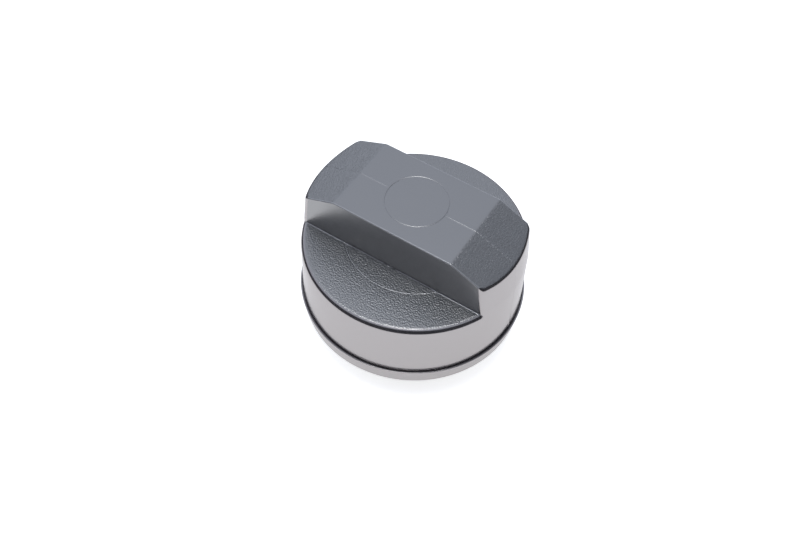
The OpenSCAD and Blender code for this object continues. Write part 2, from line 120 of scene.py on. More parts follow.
@dataclass(frozen=True)
class Finish:
    """One finish: what the material is, its colours, its gloss and the pattern of its surface.

    Attributes:
        name: the real material and how its surface was made.
        colour: main colour as sRGB hex.
        shade: colour of the pattern's low spots as sRGB hex; in the leather grain it is painted
            shade in the hollows.
        pattern: what the mould or die left on it.
        pitch: size of the pattern's cells.
        depth: height of the pattern.
        roughness: spread of the reflection.
        ior: index of refraction.
        specular: level of the reflection, one half being the index's own.
        metallic: one for bare metal.
        sheen: colour of the reflection as sRGB hex.
    """

    name: str
    colour: str
    shade: str
    pattern: Pattern
    pitch: float
    depth: float
    roughness: float
    ior: float = 1.5
    specular: float = 0.5
    metallic: float = 0.0
    sheen: str = "#ffffff"

    CLOUD = 14 * MM
    CLOUD_SPREAD = (0.9, 1.1)
    WARP_SCALE = 0.8
    WARP_REACH = 0.5
    PEBBLE_BORDER = (0.15, 0.75)
    PEBBLE_BLEND = 0.35
    FINE_SCALE = 2.2
    FINE_HEIGHT = 0.45
    DRAWN_STRETCH = (1, 1, 0.15)
    SPOT_BORDER = (0.35, 0.65)

    def material(self) -> bpy.types.Material:
        """Builds the finish as a node material, or gives the one already built.

        Returns:
            The material of this name.
        """
        known = bpy.data.materials.get(self.name)
        if known is not None:
            return known
        made = bpy.data.materials.new(self.name)
        made.use_nodes = True
        tree = made.node_tree
        tree.nodes.clear()
        place = add_node(tree, "ShaderNodeTexCoord").outputs["Object"]
        height, mask = self._height(tree, place)
        cloud = add_node(
            tree, "ShaderNodeTexNoise", None,
            {"Vector": place, "Scale": 1 / self.CLOUD, "Detail": 3.0, "Roughness": 0.6},
        ).outputs["Fac"]
        low, high = (self.roughness * share for share in self.CLOUD_SPREAD)
        spread = add_node(
            tree, "ShaderNodeMapRange", None, {"Value": cloud, "To Min": low, "To Max": high}
        ).outputs["Result"]
        tint = add_node(
            tree, "ShaderNodeMix", {"data_type": "RGBA"},
            {0: mask, 6: linear(self.shade), 7: linear(self.colour)},
        ).outputs[2]
        bump = add_node(
            tree, "ShaderNodeBump", None,
            {"Height": height, "Distance": self.depth, "Strength": 1.0},
        ).outputs["Normal"]
        shader = add_node(
            tree, "ShaderNodeBsdfPrincipled", None,
            {
                "Base Color": tint, "Roughness": spread, "Normal": bump, "IOR": self.ior,
                "Specular IOR Level": self.specular, "Metallic": self.metallic,
                "Specular Tint": linear(self.sheen),
            },
        )
        add_node(tree, "ShaderNodeOutputMaterial", None, {"Surface": shader.outputs["BSDF"]})
        return made

    def _height(
        self, tree: bpy.types.NodeTree, place: bpy.types.NodeSocket
    ) -> tuple[bpy.types.NodeSocket, bpy.types.NodeSocket]:
        """Adds the nodes of the surface's pattern.

        Args:
            tree: the material's tree.
            place: the coordinates the pattern reads.

        Returns:
            The height for the bump and the mask between the two colours, both from 0 to 1.
        """
        if self.pattern is Pattern.GRAINED:
            warp = add_node(
                tree, "ShaderNodeTexNoise", None,
                {"Vector": place, "Scale": self.WARP_SCALE / self.pitch, "Detail": 1.0},
            ).outputs["Color"]
            shifted = add_node(
                tree, "ShaderNodeVectorMath", {"operation": "MULTIPLY_ADD"},
                {0: warp, 1: (self.WARP_REACH * self.pitch,) * 3, 2: place},
            ).outputs["Vector"]
            cells = add_node(
                tree, "ShaderNodeTexVoronoi", {"feature": "SMOOTH_F1"},
                {"Vector": shifted, "Scale": 1 / self.pitch, "Smoothness": self.PEBBLE_BLEND},
            ).outputs["Distance"]
            fine = add_node(
                tree, "ShaderNodeTexNoise", None,
                {"Vector": place, "Scale": self.FINE_SCALE / self.pitch, "Detail": 2.0},
            ).outputs["Fac"]
            pebble = add_node(
                tree, "ShaderNodeMapRange", None,
                {
                    "Value": cells, "From Min": self.PEBBLE_BORDER[0],
                    "From Max": self.PEBBLE_BORDER[1], "To Min": 1.0, "To Max": 0.0,
                },
            ).outputs["Result"]
            height = add_node(
                tree, "ShaderNodeMath", {"operation": "MULTIPLY_ADD"},
                {0: fine, 1: self.FINE_HEIGHT, 2: pebble},
            ).outputs["Value"]
            # The pebble mask also darkens the hollows between pebbles: painted shade.
            return height, pebble
        stretch = self.DRAWN_STRETCH if self.pattern is Pattern.DRAWN else (1, 1, 1)
        grains = add_node(
            tree, "ShaderNodeMapping", None, {"Vector": place, "Scale": stretch}
        ).outputs["Vector"]
        detail = 4.0 if self.pattern is Pattern.SPARKED else 2.0
        height = add_node(
            tree, "ShaderNodeTexNoise", None,
            {"Vector": grains, "Scale": 1 / self.pitch, "Detail": detail, "Roughness": 0.6},
        ).outputs["Fac"]
        mask = add_node(
            tree, "ShaderNodeMapRange", None,
            {"Value": height, "From Min": self.SPOT_BORDER[0], "From Max": self.SPOT_BORDER[1]},
        ).outputs["Result"]
        return height, mask


# Black glass-filled nylon from a polished mould: a clear reflection that grows towards the edges.
# Its colour is painted lighter than the other nylon finishes and its reflection faintly pink, as
# painted light on the bright wall and band.
POLISHED_NYLON_PAINTED_LIGHT = Finish(
    "nylon_moulded_polished_painted_light", "#464448", "#403e42", Pattern.POLISHED, 3 * MM, 0.004 * MM, 0.2,
    2.4, 1.0, sheen="#fff9f8",
)
# The same nylon from a stroked mould: the blurred reflection on the bar's long sides. Its colour is
# painted darker than the other nylon finishes, as painted shade on those sides.
SATIN_NYLON_PAINTED_SHADE = Finish(
    "nylon_moulded_satin_painted_shade", "#38363c", "#343238", Pattern.SPARKED, 0.8 * MM, 0.004 * MM, 0.3,
    2.1, 1.0,
)
# The same nylon from a spark-eroded mould: even and matte, the grit too fine to see.
SPARKED_NYLON = Finish(
    "nylon_moulded_matte", "#3f4045", "#3b3c41", Pattern.SPARKED, 0.35 * MM, 0.008 * MM, 0.36,
    2.15, 1.0,
)
# The same nylon from an etched mould: leather pebbles under a millimetre across, their hollows
# painted darker as painted shade.
GRAINED_NYLON_SHADED_HOLLOWS = Finish(
    "nylon_moulded_leather_grain_painted_hollow_shade", "#3f4145", "#2b2c30", Pattern.GRAINED, 0.5 * MM, 0.055 * MM,
    0.32, 2.15, 1.0,
)
# The same nylon on its eased sharp edges, painted paler: a thin painted highlight line.
EDGE_HIGHLIGHT_NYLON = Finish(
    "nylon_moulded_painted_edge_highlight", "#85868b", "#75767b", Pattern.SPARKED, 0.5 * MM, 0.004 * MM, 0.3,
    2.15, 1.0,
)
# Black acetal of the plug's body: near black with a soft, broad gloss.
BODY_ACETAL = Finish(
    "acetal_moulded_black", "#26272a", "#202124", Pattern.SPARKED, 0.6 * MM, 0.01 * MM, 0.38, 1.5
)
# Acetal without pigment, for the seal plate and the valve: milky off-white with a soft gloss.
NATURAL_ACETAL = Finish(
    "acetal_moulded_natural", "#dcd8cb", "#d2cdbf", Pattern.SPARKED, 0.6 * MM, 0.01 * MM, 0.34, 1.48
)
# Moulded nitrile rubber of the seals: near black and dull.
NITRILE = Finish(
    "nitrile_rubber_moulded", "#232325", "#1b1b1d", Pattern.SPARKED, 0.5 * MM, 0.02 * MM, 0.62, 1.52
)
# Drawn stainless wire and strip: bright, with faint streaks along the cap's axis.
SPRING_STEEL = Finish(
    "spring_steel_drawn", "#b9babd", "#a3a4a8", Pattern.DRAWN, 0.3 * MM, 0.003 * MM, 0.26,
    metallic=1.0,
)
# Bright zinc plating of the screws: paler and a little duller than the springs.
ZINC_STEEL = Finish(
    "steel_zinc_plated", "#c6c7c9", "#b4b5b8", Pattern.DRAWN, 0.5 * MM, 0.003 * MM, 0.3,
    metallic=1.0,
)


def grid_faces(rows: int, columns: int, offset: int = 0) -> np.ndarray:
    """Gives the four corners of each face of a grid of points stored row by row.

    Args:
        rows: number of rows of points.
        columns: number of points in a row.
        offset: index of the grid's first point.

    Returns:
        An array with four point indices for each face.
    """
    index = offset + np.arange(rows * columns).reshape(rows, columns)
    corners = (index[:-1, :-1], index[:-1, 1:], index[1:, 1:], index[1:, :-1])
    return np.stack(corners, axis=-1).reshape(-1, 4)


@dataclass
class Patchwork:
    """Grids of points that share their borders, collected and then merged into one closed mesh."""

    points: list[np.ndarray] = field(default_factory=list)
    faces: list[np.ndarray] = field(default_factory=list)
    finishes: list[np.ndarray] = field(default_factory=list)
    count: int = 0

    def add(self, grid: np.ndarray, finish: int = 0) -> None:
        """Adds one grid of points.

        Args:
            grid: points by row and column.
            finish: index of the finish that its faces take.
        """
        rows, columns = grid.shape[:2]
        faces = grid_faces(rows, columns, self.count)
        self.points.append(grid.reshape(-1, 3))
        self.faces.append(faces)
        self.finishes.append(np.full(len(faces), finish, dtype=np.int32))
        self.count += rows * columns

    def build(self, name: str, finishes: Sequence[Finish]) -> bpy.types.Object:
        """Merges the grids' shared borders, drops collapsed faces and turns the faces outwards.

        Args:
            name: the new object's name.
            finishes: the finishes that the faces name by index.

        Returns:
            The finished object, at the origin.
        """
        mesh = bpy.data.meshes.new(name)
        points = np.concatenate(self.points)
        mesh.from_pydata(points.tolist(), [], np.concatenate(self.faces).tolist())
        mesh.polygons.foreach_set("material_index", np.concatenate(self.finishes))
        work = bmesh.new()
        work.from_mesh(mesh)
        bmesh.ops.remove_doubles(work, verts=work.verts, dist=MERGE)
        bmesh.ops.dissolve_degenerate(work, edges=work.edges, dist=MERGE)
        bmesh.ops.recalc_face_normals(work, faces=work.faces)
        work.to_mesh(mesh)
        work.free()
        for finish in finishes:
            mesh.materials.append(finish.material())
        mesh.polygons.foreach_set("use_smooth", np.ones(len(mesh.polygons), dtype=bool))
        piece = bpy.data.objects.new(name, mesh)
        bpy.context.scene.collection.objects.link(piece)
        return piece


def add_bevel(piece: bpy.types.Object, width: float, angle: float, finish: int) -> None:
    """Eases every edge sharper than an angle.

    Args:
        piece: the object.
        width: width of the bevel.
        angle: least angle between two faces, in degrees.
        finish: index of the bevel's own finish.
    """
    bevel = piece.modifiers.new("eased_edges", "BEVEL")
    bevel.limit_method = "ANGLE"
    bevel.angle_limit = math.radians(angle)
    bevel.width = width
    bevel.segments = BEVEL_STEPS
    bevel.harden_normals = True
    bevel.use_clamp_overlap = False
    bevel.material = int(finish)


class Zone(IntEnum):
    """Zones of the cover that have their own finish, in the order of its materials."""

    WALL = 0
    TOP = 1
    GRAIN = 2
    SIDE = 3
    # Eased edges, painted paler as a highlight.
    EDGE = 4


@dataclass(frozen=True)
class Skin:
    """One skin of the cover: its round wall, its two lower faces and its grip bar.

    Attributes:
        radius: radius at the lower faces' height.
        draft: widening of the wall for each unit below the lower faces.
        lean: narrowing of the bar's end walls for each unit above the lower faces.
        foot_z: height where the wall ends.
        step_z: height where the wall steps in behind the band.
        step: how far it steps in.
        face_z: height of the lower faces.
        rim: radius that rounds the lower faces' outer edge.
        top_z: height of the bar's flat top.
        top_half: half the bar's width at its top.
        foot_half: half the bar's width at its foot.
        flat_half: half the length of the bar's flat top.
        slope: fall of the bar's end faces in degrees.
        end: radius that rounds the upper edge of the bar's ends.
        corner: radius that rounds the bar's four upright corners.
        kink: half the length over which the flat top bends into an end face.
        circle: radius of the fine circle on the top.
        arc: radius of the fine arcs on the lower faces.
        line: width of the fine lines.
        depth: depth of the fine lines.
        ridge: height of the parting line along the bar.
        snap_z: height of the groove that takes the ring's bead.
        snap: depth of that groove, 0 for none.
    """

    radius: float
    draft: float
    lean: float
    foot_z: float
    step_z: float
    step: float
    face_z: float
    rim: float
    top_z: float
    top_half: float
    foot_half: float
    flat_half: float
    slope: float
    end: float
    corner: float
    kink: float
    circle: float
    arc: float
    line: float
    depth: float
    ridge: float
    snap_z: float
    snap: float = 0.0

    INNER_RIM = 0.3 * MM
    INNER_END = 0.4 * MM
    INNER_CORNER = 0.3 * MM
    SNAP_EASE = 0.2 * MM
    LINE_ROWS = np.array([-0.62, -0.5, -0.25, 0.25, 0.5, 0.62])
    RIDGE_SPREAD = 0.009
    FIRST_COLUMN = 0.05
    END_COLUMNS = 16
    LEAVE_ROUNDS = 8
    EDGE_ROUNDS = 12
    RING_STEPS = 7
    FLAT_STEPS = 14
    KINK_STEPS = 4
    END_STEPS = 10
    ROUND_STEPS = 8
    RISE_STEPS = 8
    CORNER_STEPS = 6
    FACE_COLUMNS = 72
    WALL_STEPS = 6

    def inset(self, wall: float, snap: float) -> "Skin":
        """Gives the skin one wall further in, with a straight wall and without the fine lines.

        Args:
            wall: thickness of the wall.
            snap: depth of the groove that takes the ring's bead.

        Returns:
            The inner skin.
        """
        tilt = math.radians(self.slope)
        return replace(
            self,
            radius=self.radius - wall, draft=0.0, step=0.0, snap=snap,
            face_z=self.face_z - wall, rim=self.INNER_RIM,
            top_z=self.top_z - wall, top_half=self.top_half - wall,
            foot_half=self.foot_half - wall,
            flat_half=self.flat_half - wall * math.tan(tilt / 2),
            end=self.INNER_END, corner=self.INNER_CORNER, depth=0.0, ridge=0.0,
        )

    def wall_radius(self, z: np.ndarray) -> np.ndarray:
        """Radius of the round wall at a height: two straight lines that meet at the lower faces."""
        above = z - self.face_z
        return self.radius - np.where(above > 0, self.lean, self.draft) * above

    def half_width(self, z: np.ndarray) -> np.ndarray:
        """Half the bar's width at a height: a straight line from foot to top."""
        lean = (self.top_half - self.foot_half) / (self.top_z - self.face_z)
        return self.foot_half + (z - self.face_z) * lean

    def top_line(self, x: np.ndarray) -> np.ndarray:
        """Height of the bar's top at x: flat, a parabola over the kink, then a straight fall."""
        fall = math.tan(math.radians(self.slope))
        start = self.flat_half - self.kink
        bend = np.clip((x - start) / (2 * self.kink), 0, 1)
        straight = np.maximum(x - self.flat_half - self.kink, 0)
        return self.top_z - fall * (self.kink * bend ** 2 + straight)

    def across(self) -> np.ndarray:
        """Columns from one side of the bar to the other, dense at the parting line."""
        outer = np.linspace(self.FIRST_COLUMN, 1, self.END_COLUMNS)
        near = self.RIDGE_SPREAD * np.array([0.5, 1])
        right = np.concatenate([near, outer])
        corner = self.rim_corner()[1]
        return np.concatenate([-corner, -right[::-1], [0.0], right, corner[::-1]])

    def outline(self, z: np.ndarray, columns: np.ndarray) -> tuple[np.ndarray, np.ndarray]:
        """The bar's right end in plan: an arc of the wall between two rounded corners.

        A column from -1 to 1 lies on the wall, at that share of the angle where wall and corner
        touch. The size of any other is one more than the share of the turn from there to the bar's
        side.

        Args:
            z: height of each column.
            columns: the columns.

        Returns:
            The points, and the unit vectors that point out of the wall there.
        """
        size, hand = np.abs(columns), np.where(columns < 0, -1.0, 1.0)
        reach = self.wall_radius(z) - self.corner
        middle_y = self.half_width(z) - self.corner
        middle_x = np.sqrt(reach ** 2 - middle_y ** 2)
        touch = np.arctan2(middle_y, middle_x)
        turn = np.where(size > 1, touch + (size - 1) * (math.pi / 2 - touch), size * touch)
        base_x = np.where(size > 1, middle_x, reach * np.cos(turn))
        base_y = np.where(size > 1, middle_y, reach * np.sin(turn))
        out = np.stack([np.cos(turn), hand * np.sin(turn)], axis=-1)
        return np.stack([base_x, hand * base_y], axis=-1) + self.corner * out, out

    def rim_turns(self) -> tuple[np.ndarray, np.ndarray]:
        """Angles along the lower faces' rounded rim, before and after it leaves the bar's side.

        It leaves the side where the upright corner starts. The angle's sine is that point's
        distance past the rim's centre line, over the rim's radius.

        Returns:
            The angles on the bar's side, and those on the corner down to the wall.
        """
        middle = float(self.wall_radius(np.array(self.face_z - self.rim))) - self.rim
        leave = 0.0
        for _ in range(self.LEAVE_ROUNDS):
            z = np.array([self.face_z - self.rim * (1 - math.cos(leave))])
            start = self.outline(z, np.array([2.0]))[0][0]
            leave = math.asin((float(np.hypot(*start)) - middle) / self.rim)
        before = np.linspace(0, leave, self.ROUND_STEPS + 1)[1:]
        return before, np.linspace(leave, math.pi / 2, self.CORNER_STEPS + 1)

    def rim_corner(self) -> tuple[np.ndarray, np.ndarray, np.ndarray]:
        """Where the rounded rim meets an upright corner.

        The rim's circle at each height cuts the corner's arc. The triangle of the axis, the arc's
        centre and the meeting point has three known sides, which gives its angle at the axis.

        Returns:
            The meeting points' angles about the axis, their columns and their heights, from the
            bar's side to the last one before the wall.
        """
        turn = self.rim_turns()[1][:-1]
        z = self.face_z - self.rim * (1 - np.cos(turn))
        middle = float(self.wall_radius(np.array(self.face_z - self.rim))) - self.rim
        radius = middle + self.rim * np.sin(turn)
        reach = self.wall_radius(z) - self.corner
        centre_y = self.half_width(z) - self.corner
        centre_x = np.sqrt(reach ** 2 - centre_y ** 2)
        touch = np.arctan2(centre_y, centre_x)
        cosine = (radius ** 2 + reach ** 2 - self.corner ** 2) / (2 * radius * reach)
        angle = touch + np.arccos(np.clip(cosine, -1, 1))
        facing = np.arctan2(radius * np.sin(angle) - centre_y, radius * np.cos(angle) - centre_x)
        return angle, 1 + (facing - touch) / (math.pi / 2 - touch), z

    def bar_end(self) -> np.ndarray:
        """The bar's right end: kink, sloping face, rounded edge and round wall, row after row.

        Each column crosses the rounded edge in the upright plane that stands square to the wall.
        The edge's radius is full on the wall and falls as a cosine to nothing at the bar's side.

        Returns:
            Points by row and column, from the flat top to the shoulder.
        """
        columns = self.across()
        size = np.abs(columns)
        corner = len(self.rim_corner()[2])
        foot = np.full_like(columns, self.face_z - self.rim)
        foot[:corner] = self.rim_corner()[2]
        foot[-corner:] = foot[:corner][::-1]
        crest = np.maximum(1 - size / self.RIDGE_SPREAD, 0) * self.ridge
        radius = self.end * np.cos(math.pi / 2 * np.clip(size - 1, 0, 1))
        edge_z = np.full_like(columns, self.top_z - 0.2 * self.radius)
        for _ in range(self.EDGE_ROUNDS):
            edge, out = self.outline(edge_z, columns)
            edge_z = self.top_line(edge[:, 0])
        below = self.outline(edge_z - self.end, columns)[0]
        upright = np.arctan(((below - edge) * out).sum(axis=1) / self.end)
        level = math.pi / 2 - np.arctan(math.tan(math.radians(self.slope)) * out[:, 0])
        back = radius * np.tan((level - upright) / 2)

        def rounding(part: float) -> np.ndarray:
            angle = level + part * (upright - level)
            outwards = back * np.sin(upright) + radius * (np.cos(angle) - np.cos(upright))
            rise = radius * (np.sin(angle) - np.sin(upright)) - back * np.cos(upright)
            spot = edge + outwards[:, None] * out
            return np.concatenate([spot, (edge_z + rise)[:, None]], axis=1)

        first = rounding(0.0)
        share = first[:, 1] / self.half_width(first[:, 2])

        def on_top(x: np.ndarray) -> np.ndarray:
            z = self.top_line(x)
            return np.stack([x, share * self.half_width(z), z], axis=-1)

        kink_x = self.flat_half + self.kink * np.linspace(-1, 1, self.KINK_STEPS + 1)
        rows = [on_top(x + 0 * share) for x in kink_x]
        rows += [
            on_top(kink_x[-1] + part * (first[:, 0] - kink_x[-1]))
            for part in np.linspace(0, 1, self.END_STEPS + 1)[1:]
        ]
        rows += [rounding(part) for part in np.linspace(0, 1, self.ROUND_STEPS + 1)[1:]]
        start = rows[-1][:, 2]
        for part in np.linspace(0, 1, self.RISE_STEPS + 1)[1:]:
            z = start + part * (foot - start)
            rows.append(np.concatenate([self.outline(z, columns)[0], z[:, None]], axis=1))
        grid = np.stack(rows)
        upper = self.KINK_STEPS + 1 + self.END_STEPS
        grid[:upper, :, 2] += crest
        grid[upper:, :, 0] += crest
        return grid

    def lower_face(self) -> np.ndarray:
        """The front lower face and its rounded rim, row after row outwards.

        Rows are circles about the axis that start and stop at the bar. The first row is a point at
        the middle of the bar's foot. The last rows follow a quarter circle down to the shoulder.
        The two middle rows of the fine arc lie at its depth.

        Returns:
            Points by row and column, columns running from right to left.
        """
        middle = float(self.wall_radius(np.array(self.face_z - self.rim))) - self.rim
        reach = math.sqrt(middle ** 2 - self.foot_half ** 2)
        mark = np.sqrt((self.arc + self.line * self.LINE_ROWS) ** 2 - self.foot_half ** 2)
        steps = self.FLAT_STEPS + self.KINK_STEPS + self.END_STEPS
        before = np.linspace(0, mark[0], steps // 2)[:-1]
        after = np.linspace(mark[-1], reach, steps + 2 - len(before) - len(mark))
        radius = np.hypot(np.concatenate([before, mark[:-1], after]), self.foot_half)
        z = np.full_like(radius, self.face_z)
        z[len(before) + 2:len(before) + 4] -= self.depth
        on_side, on_corner = self.rim_turns()
        turn = np.concatenate([on_side, on_corner[1:]])
        radius = np.concatenate([radius, middle + self.rim * np.sin(turn)])
        z = np.concatenate([z, self.face_z - self.rim * (1 - np.cos(turn))])
        start = np.arcsin(np.clip(self.half_width(z) / radius, -1, 1))
        shoulder = self.outline(z[-1:], np.array([1.0]))[0][0]
        corner = np.append(self.rim_corner()[0][1:], math.atan2(shoulder[1], shoulder[0]))
        start[-len(corner):] = corner
        share = np.linspace(0, 1, self.FACE_COLUMNS + 1)
        angle = start[:, None] + share[None, :] * (math.pi - 2 * start[:, None])
        radius = radius[:, None] + 0 * angle
        return np.stack(
            [radius * np.cos(angle), -radius * np.sin(angle), z[:, None] + 0 * angle], axis=-1
        )

    def flat_top(self, end: np.ndarray) -> np.ndarray:
        """The bar's flat top: rings round the fine circle that widen into the rectangle's outline.

        The two middle rings of the fine circle lie at its depth.

        Args:
            end: the right end's grid, whose first row is one short side of the rectangle.

        Returns:
            Points by ring and column, from the outline in to the middle.
        """
        half_x, half_y = self.flat_half - self.kink, self.top_half
        short = end[0][:, :2]
        long_x = np.linspace(half_x, -half_x, 2 * self.FLAT_STEPS + 1)[1:-1]
        back = np.stack([long_x, np.full_like(long_x, half_y)], axis=-1)
        outline = np.concatenate([short, back, -short, -back, short[:1]])
        angle = np.arctan2(outline[:, 1], outline[:, 0])
        unit = np.stack([np.cos(angle), np.sin(angle)], axis=-1)
        mark = self.circle - self.line * self.LINE_ROWS
        shares = np.linspace(0, 1, self.RING_STEPS + 1)
        rings = [outline * (1 - t) + unit * mark[0] * t for t in shares]
        rings += [unit * r for r in mark[1:]]
        rings += [unit * r for r in np.linspace(mark[-1], 0, self.RING_STEPS)[1:]]
        flat = np.stack(rings)
        z = np.full(flat.shape[:2] + (1,), self.top_z)
        z[self.RING_STEPS + 2:self.RING_STEPS + 4] -= self.depth
        crest = end[0][:, 2]
        half_way = len(short) + len(back)
        z[:self.RING_STEPS, :len(short), 0] = crest
        z[:self.RING_STEPS, half_way:half_way + len(short), 0] = crest
        return np.concatenate([flat, z], axis=-1)

    def side(self, end: np.ndarray, face: np.ndarray) -> np.ndarray:
        """The bar's front side: straight lines from its foot to its upper edge.

        Args:
            end: the right end's grid.
            face: the front lower face's grid.

        Returns:
            Points by row from the foot up, columns from left to right.
        """
        flat_x = np.linspace(0, self.flat_half - self.kink, self.FLAT_STEPS + 1)[:-1]
        flat_y = np.full_like(flat_x, -self.top_half)
        flat = np.stack([flat_x, flat_y, np.full_like(flat_x, self.top_z)], axis=-1)
        last = self.KINK_STEPS + self.END_STEPS + self.ROUND_STEPS
        upper = np.concatenate([flat, end[:last + 1, 0]])
        lower = face[:len(upper), 0]
        rise = np.linspace(0, 1, self.RISE_STEPS + 1)[:, None, None]
        right = lower[None] + rise * (upper - lower)[None]
        right[..., 1] = -self.half_width(right[..., 2])
        right[0] = lower
        right[-1] = upper
        right[:, -1] = end[last:, 0][::-1]
        left = right[:, :0:-1] * np.array([-1.0, 1.0, 1.0])
        return np.concatenate([left, right], axis=1)

    def add_to(
        self, work: Patchwork, wall: int, top: int, grain: int, side_finish: int
    ) -> np.ndarray:
        """Adds the skin's patches.

        Args:
            work: where the patches go.
            wall: index of the finish of the walls.
            top: index of the finish of the flat top.
            grain: index of the finish of the end faces and lower faces.
            side_finish: index of the finish of the bar's long sides.

        Returns:
            The loop of points at the wall's foot.
        """
        end = self.bar_end()
        face = self.lower_face()
        side = self.side(end, face)
        turned = np.array([-1.0, -1.0, 1.0])
        sloped = self.KINK_STEPS // 2 + 1
        grained_end = self.KINK_STEPS + 1 + self.END_STEPS + self.ROUND_STEPS // 4
        grained_face = len(face) - self.CORNER_STEPS
        for flip in (np.ones(3), turned):
            work.add(end[:sloped] * flip, top)
            work.add(end[sloped - 1:grained_end] * flip, grain)
            work.add(end[grained_end - 1:] * flip, wall)
            work.add(face[:grained_face] * flip, grain)
            work.add(face[grained_face - 1:] * flip, wall)
            work.add(side * flip, side_finish)
        work.add(self.flat_top(end), top)
        shoulder = end[-1, self.CORNER_STEPS:-self.CORNER_STEPS]
        loop = np.concatenate([
            shoulder, (face[-1] * turned)[-2::-1], (shoulder * turned)[1:], face[-1][-2::-1]
        ])
        heights = np.linspace(loop[0, 2], self.step_z, self.WALL_STEPS + 1)
        radii = self.wall_radius(heights)
        groove = self.snap_z + (self.snap + self.SNAP_EASE) * np.array([1, 0, -1])
        heights = np.concatenate([heights, [self.step_z], groove, [self.foot_z]])
        radii = np.append(radii, radii[-1] - self.step + self.snap * np.array([0, 0, 1, 0, 0]))
        ring = np.repeat(loop[None], len(heights), axis=0)
        ring[..., :2] *= (radii / radii[0])[:, None, None]
        ring[..., 2] = heights[:, None]
        work.add(ring, wall)
        return ring[-1]


def rounded(corners: Sequence[Sequence[float]], radius: float, steps: int = 4) -> np.ndarray:
    """Rounds the corners of a closed outline.

    Each corner becomes an arc that touches both its sides. The arc's centre lies on the corner's
    bisector, at the radius over the sine of half the corner. A radius too large for its sides is
    made smaller, so that an arc takes less than half of each. An angle too near to flat or to
    nothing counts as one a little away from it.

    Args:
        corners: the outline's corners in order.
        radius: radius of the arcs.
        steps: chords in each arc.

    Returns:
        The rounded outline's points, without repeating the first.
    """
    points = np.array(corners, dtype=float)
    before = np.roll(points, 1, axis=0) - points
    after = np.roll(points, -1, axis=0) - points
    length_before = np.linalg.norm(before, axis=1, keepdims=True)
    length_after = np.linalg.norm(after, axis=1, keepdims=True)
    before, after = before / length_before, after / length_after
    half = np.arccos(np.clip((before * after).sum(axis=1, keepdims=True), -1, 1)) / 2
    least, most = 0.02, 0.48
    half = np.clip(half, least, math.pi / 2 - least)
    reach = np.minimum(radius / np.tan(half), most * np.minimum(length_before, length_after))
    radii = reach * np.tan(half)
    middle = before + after
    middle /= np.maximum(np.linalg.norm(middle, axis=1, keepdims=True), 1e-9)
    centre = points + middle * radii / np.sin(half)
    first = points + before * reach - centre
    last = points + after * reach - centre
    turn = math.pi - 2 * half
    share = np.linspace(0, 1, steps + 1)[None, :, None]
    first, last, turn, centre = first[:, None], last[:, None], turn[:, None], centre[:, None]
    arcs = (np.sin((1 - share) * turn) * first + np.sin(share * turn) * last) / np.sin(turn)
    return (centre + arcs).reshape(-1, 2)


def turned(outline: Sequence[Any], segments: int) -> np.ndarray:
    """Carries an outline of radius and height once round the axis.

    Args:
        outline: points of radius and height above the rim.
        segments: chords in the full turn.

    Returns:
        Points by row along the closed outline and column round the axis, in the frame.
    """
    angle = np.radians(360.0 * np.linspace(0, 1, segments + 1))
    closed = np.array([*outline, outline[0]])
    radius, height = closed[:, :1], closed[:, 1:]
    x, y = radius * np.cos(angle), radius * np.sin(angle)
    return np.stack([x, y, height + 0 * x + RIM_Z], axis=-1)


def slab(
    outline: Sequence[Sequence[float]], axis: int, middle: float, thickness: float
) -> np.ndarray:
    """Closes a flat plate of a convex outline.

    Args:
        outline: the outline's points, along the axis it doesn't face and above the rim.
        axis: 0 for a plate that faces along X, 1 for one that faces along Y.
        middle: place of its middle along that axis.
        thickness: its thickness.

    Returns:
        Points by row from the middle of one face over both edges to the middle of the other.
    """
    edge = np.array(list(outline) + [outline[0]], dtype=float)
    centre = np.repeat(edge[:-1].mean(axis=0)[None], len(edge), axis=0)
    rows = np.stack([centre, edge, edge, centre])
    depth = middle + thickness * np.array([-0.5, -0.5, 0.5, 0.5])
    points = np.empty(rows.shape[:2] + (3,))
    points[..., axis] = depth[:, None]
    points[..., 1 - axis] = rows[..., 0]
    points[..., 2] = rows[..., 1] + RIM_Z
    return points


def place(piece: bpy.types.Object, body: str, slot: str, *nodes: str) -> bpy.types.Object:
    """Gives a finished piece its body and hides the solids that it stands for.

    Args:
        piece: the finished object.
        body: the body that it rides on.
        slot: the record's material slot; not used.
        nodes: the solids that it replaces.

    Returns:
        The same object.
    """
    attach(piece, body)
    if nodes:
        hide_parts(*nodes)
    LOG.info("%s: %d faces on %s", piece.name, len(piece.data.polygons), body)
    return piece


def dress(finish: Finish, *nodes: str) -> None:
    """Gives solids that stay as they are a finish.

    Args:
        finish: what they are made of.
        nodes: their names.
    """
    for name in nodes:
        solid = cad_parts[name]
        solid.data.materials.clear()
        solid.data.materials.append(finish.material())
        LOG.info("%s: dressed as %s", name, finish.name)


